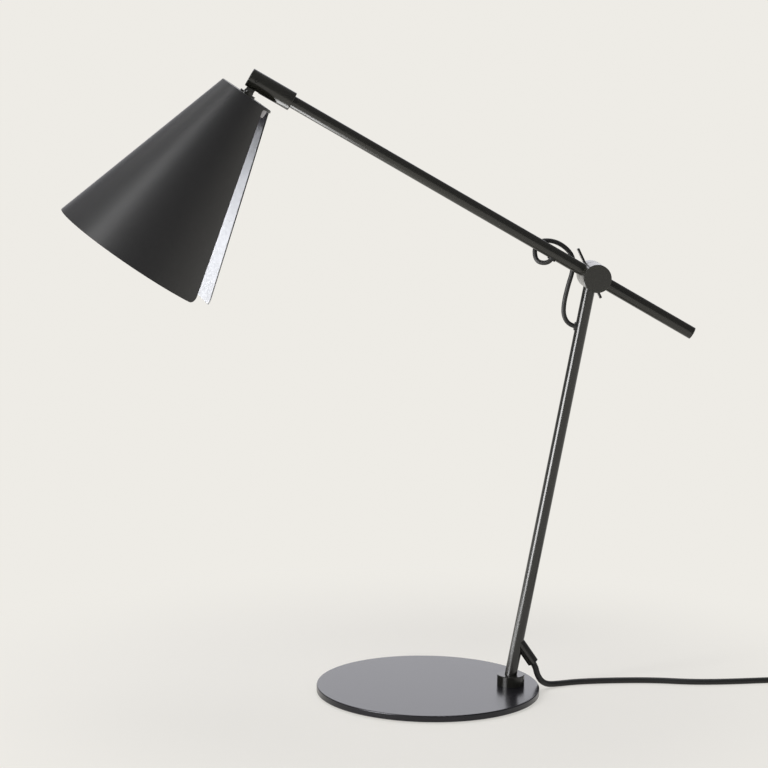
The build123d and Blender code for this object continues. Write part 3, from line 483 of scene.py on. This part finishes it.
# ---------------------------------------------------------------------------------------- tie
# A woven hook-and-loop band round both layers of the coil. Its end laps over and lies flat.
tie_low, tie_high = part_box("coil_tie")
band = 0.0008
band_corner = 0.0034
steps_per_corner = 8
band_left = tie_low.x + band / 2
band_right = tie_high.x - band / 2
band_bottom = tie_low.z + band / 2
band_top = tie_high.z - band / 2
band_middle = (band_left + band_right) / 2
lap = 0.006

band_points = [(band_middle + lap, band_top)]
for quarter, (corner_x, corner_z) in enumerate(
    (
        (band_left + band_corner, band_top - band_corner),
        (band_left + band_corner, band_bottom + band_corner),
        (band_right - band_corner, band_bottom + band_corner),
        (band_right - band_corner, band_top - band_corner),
    )
):
    for step in range(steps_per_corner + 1):
        turn = pi / 2 * (1 + quarter + step / steps_per_corner)
        across = corner_x + band_corner * cos(turn)
        up = corner_z + band_corner * sin(turn)
        band_points.append((across, up))
# The end climbs over the band's start and lies along it
band_points += [
    (band_middle + 1.3 * lap, band_top + 0.2 * band),
    (band_middle + 1.1 * lap, band_top + 0.9 * band),
    (band_middle + 0.9 * lap, band_top + 1.05 * band),
    (band_middle - lap, band_top + 1.05 * band),
]

tie_curve = bpy.data.curves.new("woven_tie", "CURVE")
tie_curve.dimensions = "2D"
tie_spline = tie_curve.splines.new("POLY")
tie_spline.points.add(len(band_points) - 1)
for point, (across, up) in zip(tie_spline.points, band_points):
    point.co = (across, up, 0, 1)
tie_curve.extrude = (tie_high.y - tie_low.y) / 2
tie_holder = bpy.data.objects.new("woven_tie", tie_curve)
bpy.context.scene.collection.objects.link(tie_holder)
tie_holder.location.y = (tie_low.y + tie_high.y) / 2
tie_holder.rotation_euler.x = pi / 2
bpy.ops.object.select_all(action="DESELECT")
tie_holder.select_set(True)
bpy.context.view_layer.objects.active = tie_holder
bpy.ops.object.convert(target="MESH")
woven_tie = bpy.context.object
bpy.ops.object.transform_apply(location=True, rotation=True, scale=True)
tie_thickness = woven_tie.modifiers.new("thickness", "SOLIDIFY")
tie_thickness.thickness = band
tie_thickness.offset = 0
bpy.ops.object.modifier_apply(modifier=tie_thickness.name)
tie_selvedge = woven_tie.modifiers.new("selvedge", "BEVEL")
tie_selvedge.width = 0.25 * band
tie_selvedge.segments = 2
bpy.ops.object.modifier_apply(modifier=tie_selvedge.name)
bpy.ops.object.shade_smooth_by_angle(angle=radians(35))

tie_weave = bpy.data.materials.new("tie_weave")
tie_weave.use_nodes = True
weave_nodes = tie_weave.node_tree.nodes
weave_links = tie_weave.node_tree.links
weave = weave_nodes["Principled BSDF"]
weave.inputs["Roughness"].default_value = 0.85
weave.inputs["Specular IOR Level"].default_value = 0.25
weave_place = weave_nodes.new("ShaderNodeTexCoord")
weave_warp = weave_nodes.new("ShaderNodeTexWave")
weave_warp.bands_direction = "Y"
weave_warp.inputs["Scale"].default_value = 600.0
weave_links.new(weave_place.outputs["Object"], weave_warp.inputs["Vector"])
weave_weft = weave_nodes.new("ShaderNodeTexWave")
weave_weft.bands_direction = "DIAGONAL"
weave_weft.inputs["Scale"].default_value = 900.0
weave_links.new(weave_place.outputs["Object"], weave_weft.inputs["Vector"])
weave_height = weave_nodes.new("ShaderNodeMath")
weave_height.operation = "MULTIPLY"
weave_links.new(weave_warp.outputs["Fac"], weave_height.inputs[0])
weave_links.new(weave_weft.outputs["Fac"], weave_height.inputs[1])
weave_tint = weave_nodes.new("ShaderNodeMix")
weave_tint.data_type = "RGBA"
weave_tint.inputs["A"].default_value = (0.012, 0.012, 0.012, 1)
weave_tint.inputs["B"].default_value = (0.035, 0.035, 0.034, 1)
weave_links.new(weave_height.outputs["Value"], weave_tint.inputs["Factor"])
weave_links.new(weave_tint.outputs["Result"], weave.inputs["Base Color"])
weave_relief = weave_nodes.new("ShaderNodeBump")
weave_relief.inputs["Distance"].default_value = 0.00015
weave_links.new(weave_height.outputs["Value"], weave_relief.inputs["Height"])
weave_links.new(weave_relief.outputs["Normal"], weave.inputs["Normal"])
woven_tie.data.materials.append(tie_weave)
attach(woven_tie, "stand")
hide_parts("coil_tie")

# ----------------------------------------------------------------------- lead in the two tubes
# The thinner lead runs hidden inside the stem and the arm, in the same black sheath as the
# mains cord.
give_finish(cord_sheath, "stem_lead", "arm_lead")

# ----------------------------------------------------------------------------------- lead loop
# Where the lead crosses the axle it hangs free: out of the arm's grommet, round a ring below the
# arm, up and over behind it, and down into the stem's grommet.
lead_diameter = 0.0045
lead_points = [
    (0.110948, -0.015, 0.431951),
    (0.107918, -0.015, 0.426542),
    (0.09486, -0.0108, 0.42822),
    (0.09545, -0.0051, 0.44763),
    (0.11603, -0.0050, 0.44837),
    (0.13306, -0.0050, 0.43480),
    (0.13289, -0.0048, 0.41900),
    (0.12873, -0.0036, 0.40460),
    (0.12522, -0.0022, 0.38704),
    (0.12537, -0.0010, 0.37463),
    (0.131404, 0, 0.365641),
    (0.138298, 0, 0.364425),
]
lead_route = route_curve("lead_route", lead_points, 0)
lead_route_mesh = bpy.data.meshes.new_from_object(lead_route)
bpy.data.objects.remove(lead_route)

lead_tube = route_curve("bending_lead", lead_points, lead_diameter)
bpy.ops.object.select_all(action="DESELECT")
lead_tube.select_set(True)
bpy.context.view_layer.objects.active = lead_tube
bpy.ops.object.convert(target="MESH")
bending_lead = bpy.context.object
bending_lead.data.materials.clear()
bending_lead.data.materials.append(cord_sheath)
bpy.ops.object.shade_smooth_by_angle(angle=radians(40))
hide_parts("lead_loop")
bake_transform(bending_lead)

# -------------------------------------------------------------------------------------- studio
# Pale seamless floor and room, soft lights above and to the left, a card on the floor that throws
# light up into the shade, and the camera where the photograph was taken.
room_colour = (0.855, 0.836, 0.791, 1)
near_paper = 0.2
far_paper = 0.55
near_plain_share = 0.6

bpy.ops.object.select_all(action="DESELECT")
bpy.ops.mesh.primitive_plane_add(size=40, location=(0, 0, 0))
floor = bpy.context.object
floor.name = "floor"
floor_paper = bpy.data.materials.new("floor_paper")
floor_paper.use_nodes = True
paper_nodes = floor_paper.node_tree.nodes
paper_links = floor_paper.node_tree.links
paper = paper_nodes["Principled BSDF"]
paper.inputs["Base Color"].default_value = room_colour
paper.inputs["Roughness"].default_value = 0.9
paper.inputs["Specular IOR Level"].default_value = 0.1
paper_glow = paper_nodes.new("ShaderNodeEmission")
paper_glow.inputs["Color"].default_value = room_colour

# Near the lamp the paper keeps part of its own light and shade, and farther off it is plain
paper_place = paper_nodes.new("ShaderNodeTexCoord")
paper_distance = paper_nodes.new("ShaderNodeVectorMath")
paper_distance.operation = "LENGTH"
paper_links.new(paper_place.outputs["Object"], paper_distance.inputs[0])
paper_plain = paper_nodes.new("ShaderNodeMapRange")
paper_plain.interpolation_type = "SMOOTHSTEP"
paper_plain.inputs["From Min"].default_value = near_paper
paper_plain.inputs["From Max"].default_value = far_paper
paper_plain.inputs["To Min"].default_value = near_plain_share
paper_plain.inputs["To Max"].default_value = 1.0
paper_links.new(paper_distance.outputs["Value"], paper_plain.inputs["Value"])

paper_rays = paper_nodes.new("ShaderNodeLightPath")
paper_seen = paper_nodes.new("ShaderNodeMath")
paper_seen.operation = "MAXIMUM"
paper_links.new(paper_rays.outputs["Is Camera Ray"], paper_seen.inputs[0])
paper_links.new(paper_rays.outputs["Is Glossy Ray"], paper_seen.inputs[1])
paper_share = paper_nodes.new("ShaderNodeMath")
paper_share.operation = "MULTIPLY"
paper_links.new(paper_seen.outputs["Value"], paper_share.inputs[0])
paper_links.new(paper_plain.outputs["Result"], paper_share.inputs[1])
paper_mix = paper_nodes.new("ShaderNodeMixShader")
paper_links.new(paper_share.outputs["Value"], paper_mix.inputs["Fac"])
paper_links.new(paper.outputs["BSDF"], paper_mix.inputs[1])
paper_links.new(paper_glow.outputs["Emission"], paper_mix.inputs[2])
paper_links.new(paper_mix.outputs["Shader"], paper_nodes["Material Output"].inputs["Surface"])
floor.data.materials.append(floor_paper)

# The room is bright behind the lamp, where its far wall is lit, and dim all round
far_wall_light = 1.7
dim_room_light = 0.25
room_grey = (0.82, 0.82, 0.86, 1)
room = bpy.data.worlds.new("room")
bpy.context.scene.world = room
room.use_nodes = True
room_nodes = room.node_tree.nodes
room_links = room.node_tree.links
room_place = room_nodes.new("ShaderNodeTexCoord")
room_split = room_nodes.new("ShaderNodeSeparateXYZ")
room_links.new(room_place.outputs["Generated"], room_split.inputs["Vector"])
room_side = room_nodes.new("ShaderNodeMath")
room_side.operation = "ABSOLUTE"
room_links.new(room_split.outputs["X"], room_side.inputs[0])
room_wall = room_nodes.new("ShaderNodeMapRange")
room_wall.interpolation_type = "SMOOTHSTEP"
room_wall.inputs["From Min"].default_value = 0.20
room_wall.inputs["From Max"].default_value = 0.42
room_wall.inputs["To Min"].default_value = far_wall_light
room_wall.inputs["To Max"].default_value = dim_room_light
room_links.new(room_side.outputs["Value"], room_wall.inputs["Value"])
room_behind = room_nodes.new("ShaderNodeMath")
room_behind.operation = "GREATER_THAN"
room_behind.inputs[1].default_value = 0.0
room_links.new(room_split.outputs["Y"], room_behind.inputs[0])
room_panel = room_nodes.new("ShaderNodeMath")
room_panel.operation = "MULTIPLY"
room_links.new(room_wall.outputs["Result"], room_panel.inputs[0])
room_links.new(room_behind.outputs["Value"], room_panel.inputs[1])
room_back = room_nodes.new("ShaderNodeMath")
room_back.operation = "MAXIMUM"
room_back.inputs[1].default_value = dim_room_light
room_links.new(room_panel.outputs["Value"], room_back.inputs[0])
room_rays = room_nodes.new("ShaderNodeLightPath")
room_shown = room_nodes.new("ShaderNodeMath")
room_shown.operation = "MAXIMUM"
room_links.new(room_rays.outputs["Is Camera Ray"], room_shown.inputs[0])
room_links.new(room_rays.outputs["Is Transmission Ray"], room_shown.inputs[1])
room_strength = room_nodes.new("ShaderNodeMix")
room_strength.inputs["B"].default_value = 1.0
room_links.new(room_shown.outputs["Value"], room_strength.inputs["Factor"])
room_links.new(room_back.outputs["Value"], room_strength.inputs["A"])
room_light = room_nodes["Background"]
room_tint = room_nodes.new("ShaderNodeMix")
room_tint.data_type = "RGBA"
room_tint.inputs["A"].default_value = room_grey
room_tint.inputs["B"].default_value = room_colour
room_links.new(room_shown.outputs["Value"], room_tint.inputs["Factor"])
room_links.new(room_tint.outputs["Result"], room_light.inputs["Color"])
room_links.new(room_strength.outputs["Result"], room_light.inputs["Strength"])


def softbox(name, place, target, width, height, power, gleam_only=False):
    """A rectangular soft light, turned towards a target. A gleam shows in gloss alone."""
    lamp = bpy.data.lights.new(name, "AREA")
    lamp.shape = "RECTANGLE"
    lamp.size = width
    lamp.size_y = height
    lamp.energy = power
    holder = bpy.data.objects.new(name, lamp)
    bpy.context.scene.collection.objects.link(holder)
    holder.visible_camera = False
    holder.visible_diffuse = not gleam_only
    holder.location = place
    holder.rotation_euler = (Vector(target) - Vector(place)).to_track_quat("-Z", "Y").to_euler()


softbox(
    "overhead_softbox",
    place=(-0.4, 0.9, 2.3),
    target=(0, 0, 0.3),
    width=2.0,
    height=1.6,
    power=16,
)
softbox(
    "left_softbox",
    place=(-1.33, -0.86, 1.65),
    target=(0.1, 0, 1.65),
    width=0.28,
    height=1.9,
    power=18,
)
softbox(
    "low_gleam",
    place=(-1.30, -0.88, 0.23),
    target=(0.1, 0, 0.23),
    width=0.85,
    height=0.6,
    power=24,
    gleam_only=True,
)
softbox(
    "bounce_card",
    place=(-0.62, -0.02, 0.01),
    target=(-0.62, -0.02, 1),
    width=0.5,
    height=0.5,
    power=8,
)

camera_position = (-0.18214, -2.23275, 0.63552)
camera_heading = -3.445
camera_down = 8.358
camera_tip = 0.8207
camera = bpy.data.cameras.new("camera")
camera.lens = 109.37
camera.sensor_width = 36.0
camera_place = bpy.data.objects.new("camera", camera)
bpy.context.scene.collection.objects.link(camera_place)
camera_turn = Matrix.Rotation(radians(camera_heading), 4, "Z")
camera_pitch = Matrix.Rotation(radians(90 - camera_down), 4, "X")
camera_roll = Matrix.Rotation(radians(camera_tip), 4, "Z")
camera_place.matrix_world = (
    Matrix.Translation(camera_position) @ camera_turn @ camera_pitch @ camera_roll
)
bpy.context.scene.camera = camera_place
bpy.context.scene.view_settings.view_transform = "Standard"
